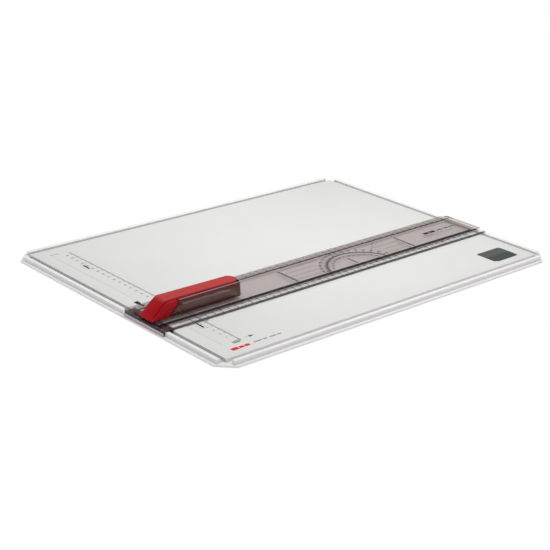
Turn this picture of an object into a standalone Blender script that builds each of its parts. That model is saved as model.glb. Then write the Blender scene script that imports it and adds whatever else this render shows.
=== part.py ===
"""Portable A3 drawing board with a sliding parallel rail.

A moulded board shell with a ridge and a groove round all four sides, closed by a ribbed base
cover on four rubber feet. A clamp bar is let into the left margin and a magnetic corner clip into
the lower right corner. A tinted parallel rail hooks over the left ridge and slides along it; a red
rocking key in a tinted housing on the rail's head lifts a rubber brake pad out of the groove.

Units are metres, +Z is up, the origin is under the middle of the board at the level of its feet.
Run with: blender --background --python part.py
"""

import math

import bmesh
import bpy
from mathutils import Matrix, Vector

mm = 0.001

# ---------------------------------------------------------------- driving dimensions

GAP = 0.3 * mm  # clearance between pieces that touch
FUSE = 0.5 * mm  # how far two joined solids run into each other
BEYOND = 1 * mm  # how far a cutter reaches past the solid that it cuts

BOARD_LENGTH = 495 * mm  # along X
BOARD_WIDTH = 374 * mm  # along Y
CORNER_CUT = 17 * mm  # 45 degree cut across each corner of the flange

# Heights above the surface that the board stands on.
BASE_BOTTOM = 1.0 * mm
BASE_TOP = 2.7 * mm
FLANGE_BOTTOM = 3.0 * mm
FLANGE_TOP = 5.1 * mm
SHEET_UNDERSIDE = 7.0 * mm
LIP_LOW = 8.5 * mm
SURFACE = 9.1 * mm

# Distances inward from the board's edge.
RIDGE_OUTER = 4.0 * mm
RIDGE_INNER = 8.8 * mm
GROOVE_INNER = 13.9 * mm
LIP_INNER = 18.3 * mm
RIDGE_END = 16.5 * mm
POCKET_INSET = 17.0 * mm

# Rail: a thin blade with a raised middle and a flat scale strip along each long edge.
RAIL_LEFT = -246.3 * mm
RAIL_RIGHT = 243.5 * mm
RAIL_FRONT = -90.5 * mm
RAIL_REAR = -19.9 * mm
RAIL_MIDDLE = (RAIL_FRONT + RAIL_REAR) / 2
WEB_HALF = 22.35 * mm
WEB_LEFT = -242.6 * mm
RAIL_UNDERSIDE = SURFACE + GAP
STRIP_TOP = 10.9 * mm
WEB_UNDERSIDE = 11.0 * mm
WEB_TOP = 12.7 * mm
HEAD_RIGHT = -224 * mm  # the head is solid as far as here
WEB_WALL = 1.8 * mm
SKIRT_BOTTOM = 5.6 * mm
SKIRT_CORNER = 0.5 * mm
BLADE_CORNER = 3 * mm
HEAD_CORNER = 8 * mm
EAR_LENGTH = 3.4 * mm  # at its right end the web spreads over both strips
EAR_FRONT = 2.4 * mm
EAR_REAR = 7 * mm
SKIRT_INNER = -243.9 * mm
SHOE_HALF = 4.3 * mm
SHOE_TOP = 10.0 * mm
SHOES = {"front": (RAIL_FRONT, -65 * mm), "rear": (-50.5 * mm, -24 * mm)}  # along Y

# Key and its housing, on the rail's head.
KEY_MIDDLE = -57.8 * mm  # Y of the key's middle plane
KEY_BOTTOM = WEB_TOP + GAP
KEY_TOP = 31.3 * mm
KEY_TOP_RIGHT = 30.0 * mm  # the top falls a little towards the right end
KEY_LEFT = -244.3 * mm
KEY_RIGHT = -127.5 * mm
KEY_HALF = 8.4 * mm
KEY_WALL = 2.0 * mm
SKIRT_LOW = 23.0 * mm  # lower edge of the key's skirt inside the housing
CHEEK_RIGHT = -223 * mm
CHEEK_HALF = 11.8 * mm
HOUSING_LEFT = -224 * mm
HOUSING_TOP = 28.6 * mm
HOUSING_RIGHT = -125.7 * mm
HOUSING_HALF = 12.0 * mm
HOUSING_WALL = 1.1 * mm
DRAFT = math.radians(5.2)  # lean of the cheeks and of the housing's walls

PIVOT_X = -222 * mm
PIVOT_Z = 20.0 * mm
PIN_RADIUS = 1.1 * mm

GROOVE_MIDDLE = -BOARD_LENGTH / 2 + (RIDGE_INNER + GROOVE_INNER) / 2
BRAKE_X = GROOVE_MIDDLE
SPRING_X = -202.5 * mm
NOSE_LOW = 15.9 * mm  # the key's nose, which rests just above the brake plunger

# Clamp bar in the left margin.
CLAMP_LEFT = -217.6 * mm
CLAMP_RIGHT = -193.7 * mm
CLAMP_FRONT = -147.3 * mm
CLAMP_REAR = 155.6 * mm
CLAMP_TOP = SURFACE - GAP
CLAMP_THICK = 1.5 * mm
CLAMP_PIVOT_X = -205 * mm
CLAMP_PIVOT_Z = 6.3 * mm
CLAMP_PIVOTS_Y = (-97.2 * mm, 103.1 * mm)
CLAMP_SPRINGS_Y = (-60 * mm, 66 * mm)
RAMP_RIGHT = -188.1 * mm  # the paper slides down a ramp from here, in under the bar

# Corner clip in the lower right corner.
CLIP_X = (175.7 * mm, 215.3 * mm)
CLIP_Y = (-161.3 * mm, -133.0 * mm)
CLIP_CREASE_Y = -147.4 * mm  # the clip slopes down from here to its front edge
CLIP_SLOPE_DROP = 0.7 * mm
CLIP_BOTTOM = 6.6 * mm
CLIP_TOP = SURFACE - 0.1 * mm
NOTCH_FLOOR = SURFACE - 0.9 * mm
MAGNET_X = 195.5 * mm
MAGNET_Y = -147.7 * mm
MAGNET_RADIUS = 4.7 * mm

# Six screws into bosses under the sheet, and four feet.
SCREWS_X = (-170 * mm, 0, 160 * mm)
SCREW_Y = 160 * mm
SCREW_HEAD_RADIUS = 2.7 * mm
SCREW_SHANK_RADIUS = 1.15 * mm
SCREW_TIP = 6.4 * mm
BOSS_RADIUS = 3.6 * mm
BOSS_BOTTOM = 4.5 * mm
PILOT_RADIUS = 1.45 * mm
CUP_RADIUS = 4.4 * mm
CUP_TOP = 4.2 * mm
RIB_THICK = 1.5 * mm
FOOT_X = 215 * mm
FOOT_Y = 155 * mm
FOOT_RADIUS = 8 * mm
FOOT_THICK = 1.7 * mm

# ---------------------------------------------------------------- scene and helpers

for stale in list(bpy.data.objects):
    bpy.data.objects.remove(stale)

scene = bpy.context.scene
board_parts = bpy.data.collections.new("drawing_board")
tools = bpy.data.collections.new("cutters")
scene.collection.children.link(board_parts)
scene.collection.children.link(tools)


def plastic(name, colour, roughness, metallic=0.0, alpha=1.0):
    """A Principled material."""
    made = bpy.data.materials.new(name)
    made.use_nodes = True
    shader = made.node_tree.nodes["Principled BSDF"]
    shader.inputs["Base Color"].default_value = (*colour, 1.0)
    shader.inputs["Roughness"].default_value = roughness
    shader.inputs["Metallic"].default_value = metallic
    shader.inputs["Alpha"].default_value = alpha
    return made


WHITE = plastic("board_white", (0.72, 0.72, 0.70), 0.45)
GREY = plastic("base_grey", (0.50, 0.50, 0.49), 0.6)
SMOKE = plastic("smoke_plastic", (0.16, 0.11, 0.10), 0.1, alpha=0.45)
RED = plastic("key_red", (0.42, 0.012, 0.02), 0.3)
BLACK = plastic("black_plastic", (0.01, 0.01, 0.01), 0.4)
RUBBER = plastic("rubber", (0.03, 0.03, 0.03), 0.8)
STEEL = plastic("steel", (0.55, 0.56, 0.58), 0.3, metallic=1.0)
CLIP = plastic("clip_dark", (0.09, 0.10, 0.095), 0.35)
MAGNET = plastic("magnet_nickel", (0.6, 0.6, 0.58), 0.25, metallic=1.0)


def make(name, bm, location, material=None):
    """Links a bmesh as an object: among the parts if it has a material, else as a tool."""
    mesh = bpy.data.meshes.new(name)
    bm.normal_update()
    bm.to_mesh(mesh)
    bm.free()
    obj = bpy.data.objects.new(name, mesh)
    obj.location = location
    if material:
        mesh.materials.append(material)
        board_parts.objects.link(obj)
    else:
        obj.hide_render = True
        obj.display_type = "WIRE"
        tools.objects.link(obj)
    return obj


def box(name, x, y, z, material=None):
    """A block; x, y and z are its (low, high) limits."""
    bm = bmesh.new()
    bmesh.ops.create_cube(bm, size=1)
    low, high = Vector((x[0], y[0], z[0])), Vector((x[1], y[1], z[1]))
    bmesh.ops.scale(bm, vec=high - low, verts=bm.verts)
    return make(name, bm, (low + high) / 2, material)


def cylinder(name, centre, radius, ends, axis="Z", material=None, sides=32):
    """A round bar between two coordinates along its axis; centre gives the other two."""
    bm = bmesh.new()
    length = ends[1] - ends[0]
    bmesh.ops.create_cone(
        bm, cap_ends=True, segments=sides, radius1=radius, radius2=radius, depth=length
    )
    middle = (ends[0] + ends[1]) / 2
    if axis == "Y":
        bmesh.ops.rotate(bm, matrix=Matrix.Rotation(math.pi / 2, 3, "X"), verts=bm.verts)
        location = (centre[0], middle, centre[1])
    else:
        location = (centre[0], centre[1], middle)
    obj = make(name, bm, location, material)
    obj.data.shade_smooth()
    obj.data.set_sharp_from_angle(angle=math.radians(40))
    return obj


# Turns a drawing in a curve's XY plane so that its thickness runs along the named axis.
FACING = {
    "X": Matrix(((0, 0, 1), (1, 0, 0), (0, 1, 0))).to_4x4(),
    "Y": Matrix(((1, 0, 0), (0, 0, -1), (0, 1, 0))).to_4x4(),
    "Z": Matrix.Identity(4),
}


def prism(name, outline, axis, ends, material=None):
    """A flat outline, drawn as a filled 2D curve, with its thickness along an axis."""
    curve = bpy.data.curves.new(name, "CURVE")
    curve.dimensions = "2D"
    curve.fill_mode = "BOTH"
    curve.extrude = (ends[1] - ends[0]) / 2
    spline = curve.splines.new("POLY")
    spline.points.add(len(outline) - 1)
    for point, (u, v) in zip(spline.points, outline):
        point.co = (u, v, 0, 1)
    spline.use_cyclic_u = True
    drawing = bpy.data.objects.new(name, curve)
    scene.collection.objects.link(drawing)
    bpy.context.view_layer.update()
    graph = bpy.context.evaluated_depsgraph_get()
    mesh = bpy.data.meshes.new_from_object(drawing.evaluated_get(graph))
    bm = bmesh.new()
    bm.from_mesh(mesh)
    bpy.data.objects.remove(drawing)
    bpy.data.meshes.remove(mesh)
    bpy.data.curves.remove(curve)
    bmesh.ops.remove_doubles(bm, verts=bm.verts, dist=1e-6)
    bmesh.ops.dissolve_limit(bm, angle_limit=1e-3, verts=bm.verts, edges=bm.edges)
    bmesh.ops.recalc_face_normals(bm, faces=bm.faces)
    bmesh.ops.transform(bm, matrix=FACING[axis], verts=bm.verts)
    location = Vector([(ends[0] + ends[1]) / 2 if letter == axis else 0 for letter in "XYZ"])
    return make(name, bm, location, material)


def arc(centre, radius, start, stop, steps=5):
    """Points on an arc, angles in degrees."""
    angles = [math.radians(start + (stop - start) * i / steps) for i in range(steps + 1)]
    return [(centre[0] + radius * math.cos(a), centre[1] + radius * math.sin(a)) for a in angles]


def rounded_rectangle(x, y, radii, steps=5):
    """Outline with a radius at each corner: front left, front right, rear right, rear left."""
    corners = ((x[0], y[0], 1, 1), (x[1], y[0], -1, 1), (x[1], y[1], -1, -1), (x[0], y[1], 1, -1))
    points = []
    for i, ((cx, cy, sx, sy), radius) in enumerate(zip(corners, radii)):
        centre = (cx + sx * radius, cy + sy * radius)
        points += arc(centre, radius, 180 + 90 * i, 270 + 90 * i, steps)
    return points


def round_edges(obj, chosen, radius, segments=2):
    """Rounds the edges whose two ends, in world space, satisfy chosen(a, b)."""
    bm = bmesh.new()
    bm.from_mesh(obj.data)
    at = obj.location
    edges = [e for e in bm.edges if chosen(e.verts[0].co + at, e.verts[1].co + at)]
    bmesh.ops.bevel(
        bm, geom=edges, offset=radius, segments=segments, profile=0.5, affect="EDGES"
    )
    bm.to_mesh(obj.data)
    bm.free()


def at_height(z):
    """Chooses the edges that lie level at this height."""
    return lambda a, b: abs(a.z - z) < 1e-6 and abs(b.z - z) < 1e-6


def lean_in(obj, middle_y, level, angle=DRAFT):
    """Gives both sides a draft: points above a level move towards the middle plane."""
    for vertex in obj.data.vertices:
        y = vertex.co.y + obj.location.y - middle_y
        rise = vertex.co.z + obj.location.z - level
        vertex.co.y -= math.copysign(rise * math.tan(angle), y)


def combine(obj, operation, others):
    """Adds Boolean modifiers that join the others to the object, or cut them from it."""
    for other in others:
        modifier = obj.modifiers.new(other.name, "BOOLEAN")
        modifier.operation = operation
        modifier.solver = "EXACT"
        modifier.object = other


def join(obj, *others):
    combine(obj, "UNION", others)


def cut(obj, *others):
    combine(obj, "DIFFERENCE", others)


def frame_at(name, location, children, parent=None):
    """An empty on a joint's axis that carries the pieces moving on it."""
    empty = bpy.data.objects.new(name, None)
    board_parts.objects.link(empty)
    empty.empty_display_size = 0.02
    empty.location = location
    for child in children:
        child.parent = empty
        child.location -= Vector(location)
    if parent:
        empty.parent = parent
        empty.location -= parent.location
    return empty


# ---------------------------------------------------------------- board shell

HALF_X, HALF_Y = BOARD_LENGTH / 2, BOARD_WIDTH / 2


def ridge_profile(edge, inward):
    """Cross-section of a ridge: slightly drafted walls and rounded top edges."""
    foot, corner, draft = FLANGE_TOP - FUSE, 0.5 * mm, 0.1 * mm
    outer, inner = RIDGE_OUTER, RIDGE_INNER
    shape = [(outer, foot)]
    shape += [(outer + draft + corner - u, SURFACE - corner + v)
              for u, v in arc((0, 0), corner, 0, 90, 3)]
    shape += [(inner - draft - corner + u, SURFACE - corner + v)
              for u, v in arc((0, 0), corner, 90, 0, 3)]
    shape += [(inner, foot)]
    return [(edge + inward * u, v) for u, v in shape]


def make_top_shell():
    cut_x, cut_y = HALF_X - CORNER_CUT, HALF_Y - CORNER_CUT
    outline = [
        (-cut_x, -HALF_Y), (cut_x, -HALF_Y), (HALF_X, -cut_y), (HALF_X, cut_y),
        (cut_x, HALF_Y), (-cut_x, HALF_Y), (-HALF_X, cut_y), (-HALF_X, -cut_y),
    ]
    shell = prism("top_shell", outline, "Z", (FLANGE_BOTTOM, FLANGE_TOP), WHITE)
    round_edges(shell, at_height(FLANGE_TOP), 0.4 * mm)

    for side in (-1, 1):
        long_run = HALF_X - RIDGE_END
        short_run = HALF_Y - RIDGE_END
        name = "front" if side < 0 else "rear"
        profile = ridge_profile(side * HALF_Y, -side)
        join(shell, prism(f"ridge_{name}", profile, "X", (-long_run, long_run)))
        name = "left" if side < 0 else "right"
        profile = ridge_profile(side * HALF_X, -side)
        join(shell, prism(f"ridge_{name}", profile, "Y", (-short_run, short_run)))

    # The drawing surface, with a gentle lip down to the groove.
    inner_x, inner_y = HALF_X - GROOVE_INNER, HALF_Y - GROOVE_INNER
    bottom = FLANGE_TOP - FUSE
    plateau = box("plateau", (-inner_x, inner_x), (-inner_y, inner_y), (bottom, LIP_LOW))
    bm = bmesh.new()
    bm.from_mesh(plateau.data)
    top = [face for face in bm.faces if face.normal.z > 0.9]
    bmesh.ops.inset_region(
        bm, faces=top, thickness=LIP_INNER - GROOVE_INNER, depth=0, use_even_offset=True
    )
    for vertex in {v for face in top for v in face.verts}:
        vertex.co.z += SURFACE - LIP_LOW
    bm.to_mesh(plateau.data)
    bm.free()
    join(shell, plateau)

    pocket_x, pocket_y = HALF_X - POCKET_INSET, HALF_Y - POCKET_INSET
    cut(shell, box(
        "underside_pocket", (-pocket_x, pocket_x), (-pocket_y, pocket_y),
        (FLANGE_BOTTOM - BEYOND, SHEET_UNDERSIDE),
    ))

    # Blocks under the sheet that hold the clamp bar's recess and the clip's recess.
    join(shell, box(
        "clamp_trough", (-222 * mm, -184 * mm), (-154 * mm, 167.5 * mm),
        (3.6 * mm, SHEET_UNDERSIDE + FUSE),
    ))
    join(shell, box(
        "clip_block", (172 * mm, 219 * mm), (-167.4 * mm, -131 * mm),
        (4.2 * mm, SHEET_UNDERSIDE + FUSE),
    ))
    for x in SCREWS_X:
        for side in (-1, 1):
            at = (x, side * SCREW_Y)
            name = f"boss_{x:.2f}_{side}"
            join(shell, cylinder(name, at, BOSS_RADIUS, (BOSS_BOTTOM, SHEET_UNDERSIDE + FUSE)))
            cut(shell, cylinder(name + "_pilot", at, PILOT_RADIUS,
                                (BOSS_BOTTOM - FUSE, SCREW_TIP + 0.4 * mm), sides=24))
    cut_clamp_recess(shell)
    cut_clip_recess(shell)
    return shell


def cut_clamp_recess(shell):
    """The bar's bed, the paper ramp beside it, pockets for its lugs, pins and leaf springs."""
    above = SURFACE + 0.2 * mm
    bed_left, bed_right = CLAMP_LEFT - 0.4 * mm, CLAMP_RIGHT + 0.2 * mm
    bed_y = (CLAMP_FRONT - 0.4 * mm, CLAMP_REAR + 0.4 * mm)
    low, high = 6.4 * mm, 6.9 * mm
    bed = [(bed_left, low), (CLAMP_PIVOT_X, low), (bed_right, high), (bed_right, above),
           (bed_left, above)]
    cut(shell, prism("clamp_bed", bed, "Y", bed_y))

    # The ramp's long side and both ends slope up to the drawing surface.
    ramp = box("paper_ramp", (-206 * mm, bed_right), bed_y, (high, above))
    grow = (above - high) / (SURFACE - high)
    for vertex in ramp.data.vertices:
        if vertex.co.z > 0:
            if vertex.co.x > 0:
                vertex.co.x += (RAMP_RIGHT - bed_right) * grow
            vertex.co.y += (10 * mm if vertex.co.y > 0 else -5 * mm) * grow
    cut(shell, ramp)

    for i, y in enumerate(CLAMP_PIVOTS_Y):
        x = CLAMP_PIVOT_X
        cut(shell, box(f"lug_pocket_{i}", (x - 3.3 * mm, x + 3.3 * mm),
                       (y - 6 * mm, y + 6 * mm), (4.4 * mm, above)))
        cut(shell, box(f"pin_slot_{i}", (x - 1.3 * mm, x + 1.3 * mm),
                       (y - 8.3 * mm, y + 8.3 * mm), (CLAMP_PIVOT_Z - 1.3 * mm, above)))
    for i, y in enumerate(CLAMP_SPRINGS_Y):
        cut(shell, box(f"spring_pocket_{i}", (-216.6 * mm, -208.4 * mm),
                       (y - 20 * mm, y + 20 * mm), (5.5 * mm, 7 * mm)))


def cut_clip_recess(shell):
    """The clip's bed, the bed of the steel plate below it and the finger notch in front."""
    x = (CLIP_X[0] - GAP, CLIP_X[1] + GAP)
    y = (CLIP_Y[0] - GAP, CLIP_Y[1] + GAP)
    above = SURFACE + 0.2 * mm
    bed = rounded_rectangle(x, y, (2.5 * mm, 2.5 * mm, 4 * mm, 2.5 * mm))
    cut(shell, prism("clip_bed", bed, "Z", (CLIP_BOTTOM - GAP, above)))
    cut(shell, box("keeper_bed", (179.7 * mm, 211.3 * mm), (-157.3 * mm, -138.1 * mm),
                   (5.4 * mm, CLIP_BOTTOM)))
    notch_x = (x[0] + 4 * mm, x[1])
    notch = rounded_rectangle(notch_x, (y[0] - 4 * mm, y[0] + 1 * mm),
                              (2 * mm, 4.5 * mm, 0.1 * mm, 0.1 * mm))
    cut(shell, prism("finger_notch", notch, "Z", (NOTCH_FLOOR, above)))


def make_base_cover():
    """Flat cover with a rib grid that carries the sheet, screw cups and foot recesses."""
    half_x, half_y = HALF_X - 12 * mm, HALF_Y - 12 * mm
    outline = rounded_rectangle((-half_x, half_x), (-half_y, half_y), (14 * mm,) * 4)
    cover = prism("base_cover", outline, "Z", (BASE_BOTTOM, BASE_TOP), GREY)
    round_edges(cover, at_height(BASE_BOTTOM), 0.5 * mm)

    rib, top, foot = RIB_THICK, SHEET_UNDERSIDE - GAP, BASE_TOP - 0.4 * mm
    ring_x = HALF_X - POCKET_INSET - 0.6 * mm
    ring_y = HALF_Y - POCKET_INSET - 0.6 * mm
    for side in (-1, 1):
        wall_x = sorted((side * ring_x, side * (ring_x - rib)))
        wall_y = sorted((side * ring_y, side * (ring_y - rib)))
        name = f"ring_{side}"
        join(cover, box(name + "_x", wall_x, (-ring_y, ring_y), (foot, top)))
        join(cover, box(name + "_y", (-ring_x, ring_x), wall_y, (foot, top)))
    for i, x in enumerate((-178 * mm, -90 * mm, 60 * mm, 165 * mm)):
        join(cover, box(f"cross_rib_{i}", (x, x + rib), (-ring_y, ring_y), (foot, top)))
    for i, y in enumerate((-90 * mm, 0, 90 * mm)):
        join(cover, box(f"long_rib_{i}", (-178 * mm, ring_x), (y, y + rib), (foot, top)))

    for x in SCREWS_X:
        for side in (-1, 1):
            at = (x, side * SCREW_Y)
            name = f"cup_{x:.2f}_{side}"
            join(cover, cylinder(name, at, CUP_RADIUS, (foot, CUP_TOP)))
            cut(cover, cylinder(name + "_bore", at, 3.1 * mm, (0, 2.9 * mm)))
            cut(cover, cylinder(name + "_hole", at, 1.5 * mm, (2 * mm, 5 * mm), sides=24))
    for side_x in (-1, 1):
        for side_y in (-1, 1):
            at = (side_x * FOOT_X, side_y * FOOT_Y)
            name = f"foot_recess_{side_x}_{side_y}"
            cut(cover, cylinder(name, at, FOOT_RADIUS + GAP, (0, FOOT_THICK + GAP)))
    return cover


def make_screws():
    """Self-tapping screws that hold the base cover to the shell's bosses."""
    made = []
    for x in SCREWS_X:
        for side in (-1, 1):
            at = (x, side * SCREW_Y)
            number = len(made) + 1
            screw = cylinder(f"base_screw_{number}", at, SCREW_HEAD_RADIUS, (1.1 * mm, 2.6 * mm),
                             material=STEEL, sides=24)
            shank = cylinder(f"shank_{number}", at, SCREW_SHANK_RADIUS, (2 * mm, SCREW_TIP), sides=16)
            drive = box(f"slot_{number}", (x - 0.35 * mm, x + 0.35 * mm),
                        (at[1] - 4 * mm, at[1] + 4 * mm), (0.9 * mm, 1.7 * mm))
            join(screw, shank)
            cut(screw, drive)
            made.append(screw)
    return made


def make_feet():
    """Four rubber discs let into the base cover."""
    for name_y, side_y in (("front", -1), ("rear", 1)):
        for name_x, side_x in (("left", -1), ("right", 1)):
            foot = cylinder(f"foot_{name_y}_{name_x}", (side_x * FOOT_X, side_y * FOOT_Y),
                            FOOT_RADIUS, (0, FOOT_THICK), material=RUBBER)
            round_edges(foot, at_height(0), 0.3 * mm, 1)


# ---------------------------------------------------------------- clamp bar and corner clip

def make_clamp():
    """The bar rocks on two pins; leaf springs under its left half hold the right edge shut."""
    bottom = CLAMP_TOP - CLAMP_THICK
    middle = (CLAMP_LEFT + CLAMP_RIGHT) / 2
    lip = 0.6 * mm
    section = [
        (CLAMP_LEFT, bottom), (middle, bottom), (CLAMP_RIGHT - 2 * mm, bottom),
        (CLAMP_RIGHT, bottom + lip), (CLAMP_RIGHT, CLAMP_TOP), (CLAMP_LEFT, CLAMP_TOP),
    ]
    bar = prism("clamp_bar", section, "Y", (CLAMP_FRONT, CLAMP_REAR), WHITE)
    round_edges(bar, at_height(CLAMP_TOP), 0.15 * mm, 1)
    x, z = CLAMP_PIVOT_X, CLAMP_PIVOT_Z
    for i, y in enumerate(CLAMP_PIVOTS_Y):
        name = ("front", "rear")[i]
        lug = box(f"clamp_lug_{name}", (x - 2.4 * mm, x + 2.4 * mm),
                  (y - 5 * mm, y + 5 * mm), (4.9 * mm, bottom + 0.4 * mm))
        round_edges(lug, at_height(4.9 * mm), 0.8 * mm)
        join(bar, lug)
        cut(bar, cylinder(f"lug_hole_{name}", (x, z), 1.3 * mm, (y - 6 * mm, y + 6 * mm),
                          axis="Y", sides=24))
        cylinder(f"clamp_pin_{name}", (x, z), 1.0 * mm, (y - 8 * mm, y + 8 * mm),
                 axis="Y", material=STEEL, sides=20)
    for i, y in enumerate(CLAMP_SPRINGS_Y):
        # An arched strip: both ends rest in the pocket and the crown bears on the bar.
        half_span, rise, thick = 18 * mm, 0.75 * mm, 0.35 * mm
        radius = (half_span**2 + rise**2) / (2 * rise)
        reach = math.degrees(math.asin(half_span / radius))
        low_centre = (y, 5.8 * mm + rise - radius)
        outline = arc(low_centre, radius, 90 + reach, 90 - reach, 12)
        outline += arc(low_centre, radius + thick, 90 - reach, 90 + reach, 12)
        prism(f"clamp_spring_{('front', 'rear')[i]}", outline, "X",
              (-216 * mm, -209 * mm), STEEL)
    frame_at("clamp_axis", (x, 0, z), [bar])


def make_corner_clip():
    """A loose clip with a magnet under it, parked in its recess over a steel plate."""
    outline = rounded_rectangle(CLIP_X, CLIP_Y, (2.2 * mm, 2.2 * mm, 3.7 * mm, 2.2 * mm))
    clip = prism("corner_clip", outline, "Z", (CLIP_BOTTOM, CLIP_TOP), CLIP)
    round_edges(clip, at_height(CLIP_TOP), 0.2 * mm, 1)
    front = CLIP_Y[0] - BEYOND
    above = CLIP_TOP + BEYOND
    slope = [(CLIP_CREASE_Y, CLIP_TOP), (CLIP_CREASE_Y, above), (front, above),
             (front, CLIP_TOP - CLIP_SLOPE_DROP)]
    cut(clip, prism("clip_slope", slope, "X", (CLIP_X[0] - BEYOND, CLIP_X[1] + BEYOND)))
    at = (MAGNET_X, MAGNET_Y)
    magnet = cylinder("clip_magnet", at, MAGNET_RADIUS, (CLIP_BOTTOM + 0.1 * mm, 7.8 * mm),
                      material=MAGNET)
    cut(clip, cylinder("magnet_hole", at, MAGNET_RADIUS + GAP,
                       (CLIP_BOTTOM - BEYOND, 7.8 * mm + GAP)))
    box("keeper_plate", (180 * mm, 211 * mm), (-157 * mm, -138.4 * mm),
        (5.7 * mm, 6.2 * mm), STEEL)
    frame_at("clip_axis", (MAGNET_X, MAGNET_Y, CLIP_BOTTOM), [clip, magnet])


# ---------------------------------------------------------------- parallel rail

def make_rail_blade():
    """Head, skirt and blade in one clear tinted moulding."""
    corner = SKIRT_CORNER
    outline = arc((RAIL_LEFT + corner, RAIL_FRONT + corner), corner, 180, 270, 3)
    corner = BLADE_CORNER
    outline += arc((RAIL_RIGHT - corner, RAIL_FRONT + corner), corner, 270, 360)
    outline += [(RAIL_RIGHT, RAIL_REAR - 2.6 * mm), (RAIL_RIGHT - 5 * mm, RAIL_REAR)]
    corner = HEAD_CORNER
    outline += arc((RAIL_LEFT + corner, RAIL_REAR - corner), corner, 90, 180)
    blade = prism("rail_blade", outline, "Z", (SKIRT_BOTTOM, STRIP_TOP), SMOKE)
    round_edges(blade, at_height(STRIP_TOP), 0.25 * mm)
    round_edges(blade, at_height(SKIRT_BOTTOM), 0.3 * mm)
    cut(blade, box("beside_skirt", (SKIRT_INNER, RAIL_RIGHT + BEYOND),
                   (RAIL_FRONT - BEYOND, RAIL_REAR + BEYOND),
                   (SKIRT_BOTTOM - BEYOND, RAIL_UNDERSIDE)))

    web_y = (RAIL_MIDDLE - WEB_HALF, RAIL_MIDDLE + WEB_HALF)
    end = RAIL_RIGHT - 0.1 * mm
    ear = end - EAR_LENGTH
    web_outline = arc((WEB_LEFT + 1.5 * mm, web_y[0] + 1.5 * mm), 1.5 * mm, 180, 270)
    ear_y = (web_y[0] - EAR_FRONT, web_y[1] + EAR_REAR)
    web_outline += [(ear, web_y[0]), (ear, ear_y[0]), (end, ear_y[0]),
                    (end, ear_y[1] - EAR_LENGTH), (end - 2 * mm, ear_y[1]),
                    (ear, ear_y[1]), (ear, web_y[1])]
    web_outline += arc((WEB_LEFT + 4.5 * mm, web_y[1] - 4.5 * mm), 4.5 * mm, 90, 180)
    web = prism("web", web_outline, "Z", (RAIL_UNDERSIDE + 0.2 * mm, WEB_TOP))
    round_edges(web, at_height(WEB_TOP), 0.4 * mm)
    join(blade, web)

    hollow_y = (web_y[0] + WEB_WALL, web_y[1] - WEB_WALL)
    cut(blade, box("under_web", (HEAD_RIGHT, ear), hollow_y,
                   (RAIL_UNDERSIDE - BEYOND, WEB_UNDERSIDE)))
    for name, ends in SHOES.items():
        x = (GROOVE_MIDDLE - SHOE_HALF - GAP, GROOVE_MIDDLE + SHOE_HALF + GAP)
        y = (ends[0] - BEYOND if name == "front" else ends[0] - GAP, ends[1] + GAP)
        cut(blade, box(f"shoe_bed_{name}", x, y, (RAIL_UNDERSIDE - BEYOND, SHOE_TOP + GAP)))
    cut(blade, cylinder("plunger_hole", (BRAKE_X, KEY_MIDDLE), 2.1 * mm,
                        (RAIL_UNDERSIDE - BEYOND, WEB_TOP + BEYOND), sides=24))
    return blade


def make_guide_shoe(name, ends):
    """A slippery shoe let into the head, with a rib that runs in the board's groove."""
    x = GROOVE_MIDDLE
    shoe = box(f"guide_shoe_{name}", (x - SHOE_HALF, x + SHOE_HALF), ends,
               (RAIL_UNDERSIDE, SHOE_TOP), BLACK)
    rib = box(f"shoe_rib_{name}", (x - 2 * mm, x + 2 * mm), ends,
              (6 * mm, RAIL_UNDERSIDE + 0.4 * mm))
    round_edges(rib, at_height(6 * mm), 0.5 * mm)
    join(shoe, rib)
    return shoe


def make_housing():
    """Open-topped tinted box round the key, with drafted walls and a slanted open left end."""
    left = HOUSING_LEFT
    y = (KEY_MIDDLE - HOUSING_HALF, KEY_MIDDLE + HOUSING_HALF)
    housing = box("key_housing", (left, HOUSING_RIGHT), y, (KEY_BOTTOM, HOUSING_TOP), SMOKE)
    round_edges(housing, lambda a, b: a.x > -130 * mm and b.x > -130 * mm
                and abs(a.y - b.y) < 1e-6 and abs(a.z - b.z) > 1 * mm, 5 * mm, 5)
    round_edges(housing, at_height(HOUSING_TOP), 0.3 * mm)
    lean_in(housing, KEY_MIDDLE, KEY_BOTTOM)
    wall = HOUSING_WALL
    inside = box("housing_inside", (left - BEYOND, HOUSING_RIGHT - wall),
                 (y[0] + wall, y[1] - wall), (KEY_BOTTOM - BEYOND, HOUSING_TOP + BEYOND))
    round_edges(inside, lambda a, b: a.x > -130 * mm and b.x > -130 * mm
                and abs(a.y - b.y) < 1e-6 and abs(a.z - b.z) > 1 * mm, 3.9 * mm, 5)
    lean_in(inside, KEY_MIDDLE, KEY_BOTTOM)
    cut(housing, inside)
    clear = 1.5 * mm  # beside the cheeks, so that the key can rock
    end = [(left - 2 * mm, KEY_BOTTOM - BEYOND), (CHEEK_RIGHT + clear, KEY_BOTTOM - BEYOND),
           (CHEEK_RIGHT + clear, KEY_BOTTOM), (-211.3 * mm + clear, 23.3 * mm),
           (-210.6 * mm + clear, HOUSING_TOP + BEYOND), (left - 2 * mm, HOUSING_TOP + BEYOND)]
    cut(housing, prism("slanted_end", end, "Y", (y[0] - BEYOND, y[1] + BEYOND)))
    return housing


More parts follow.
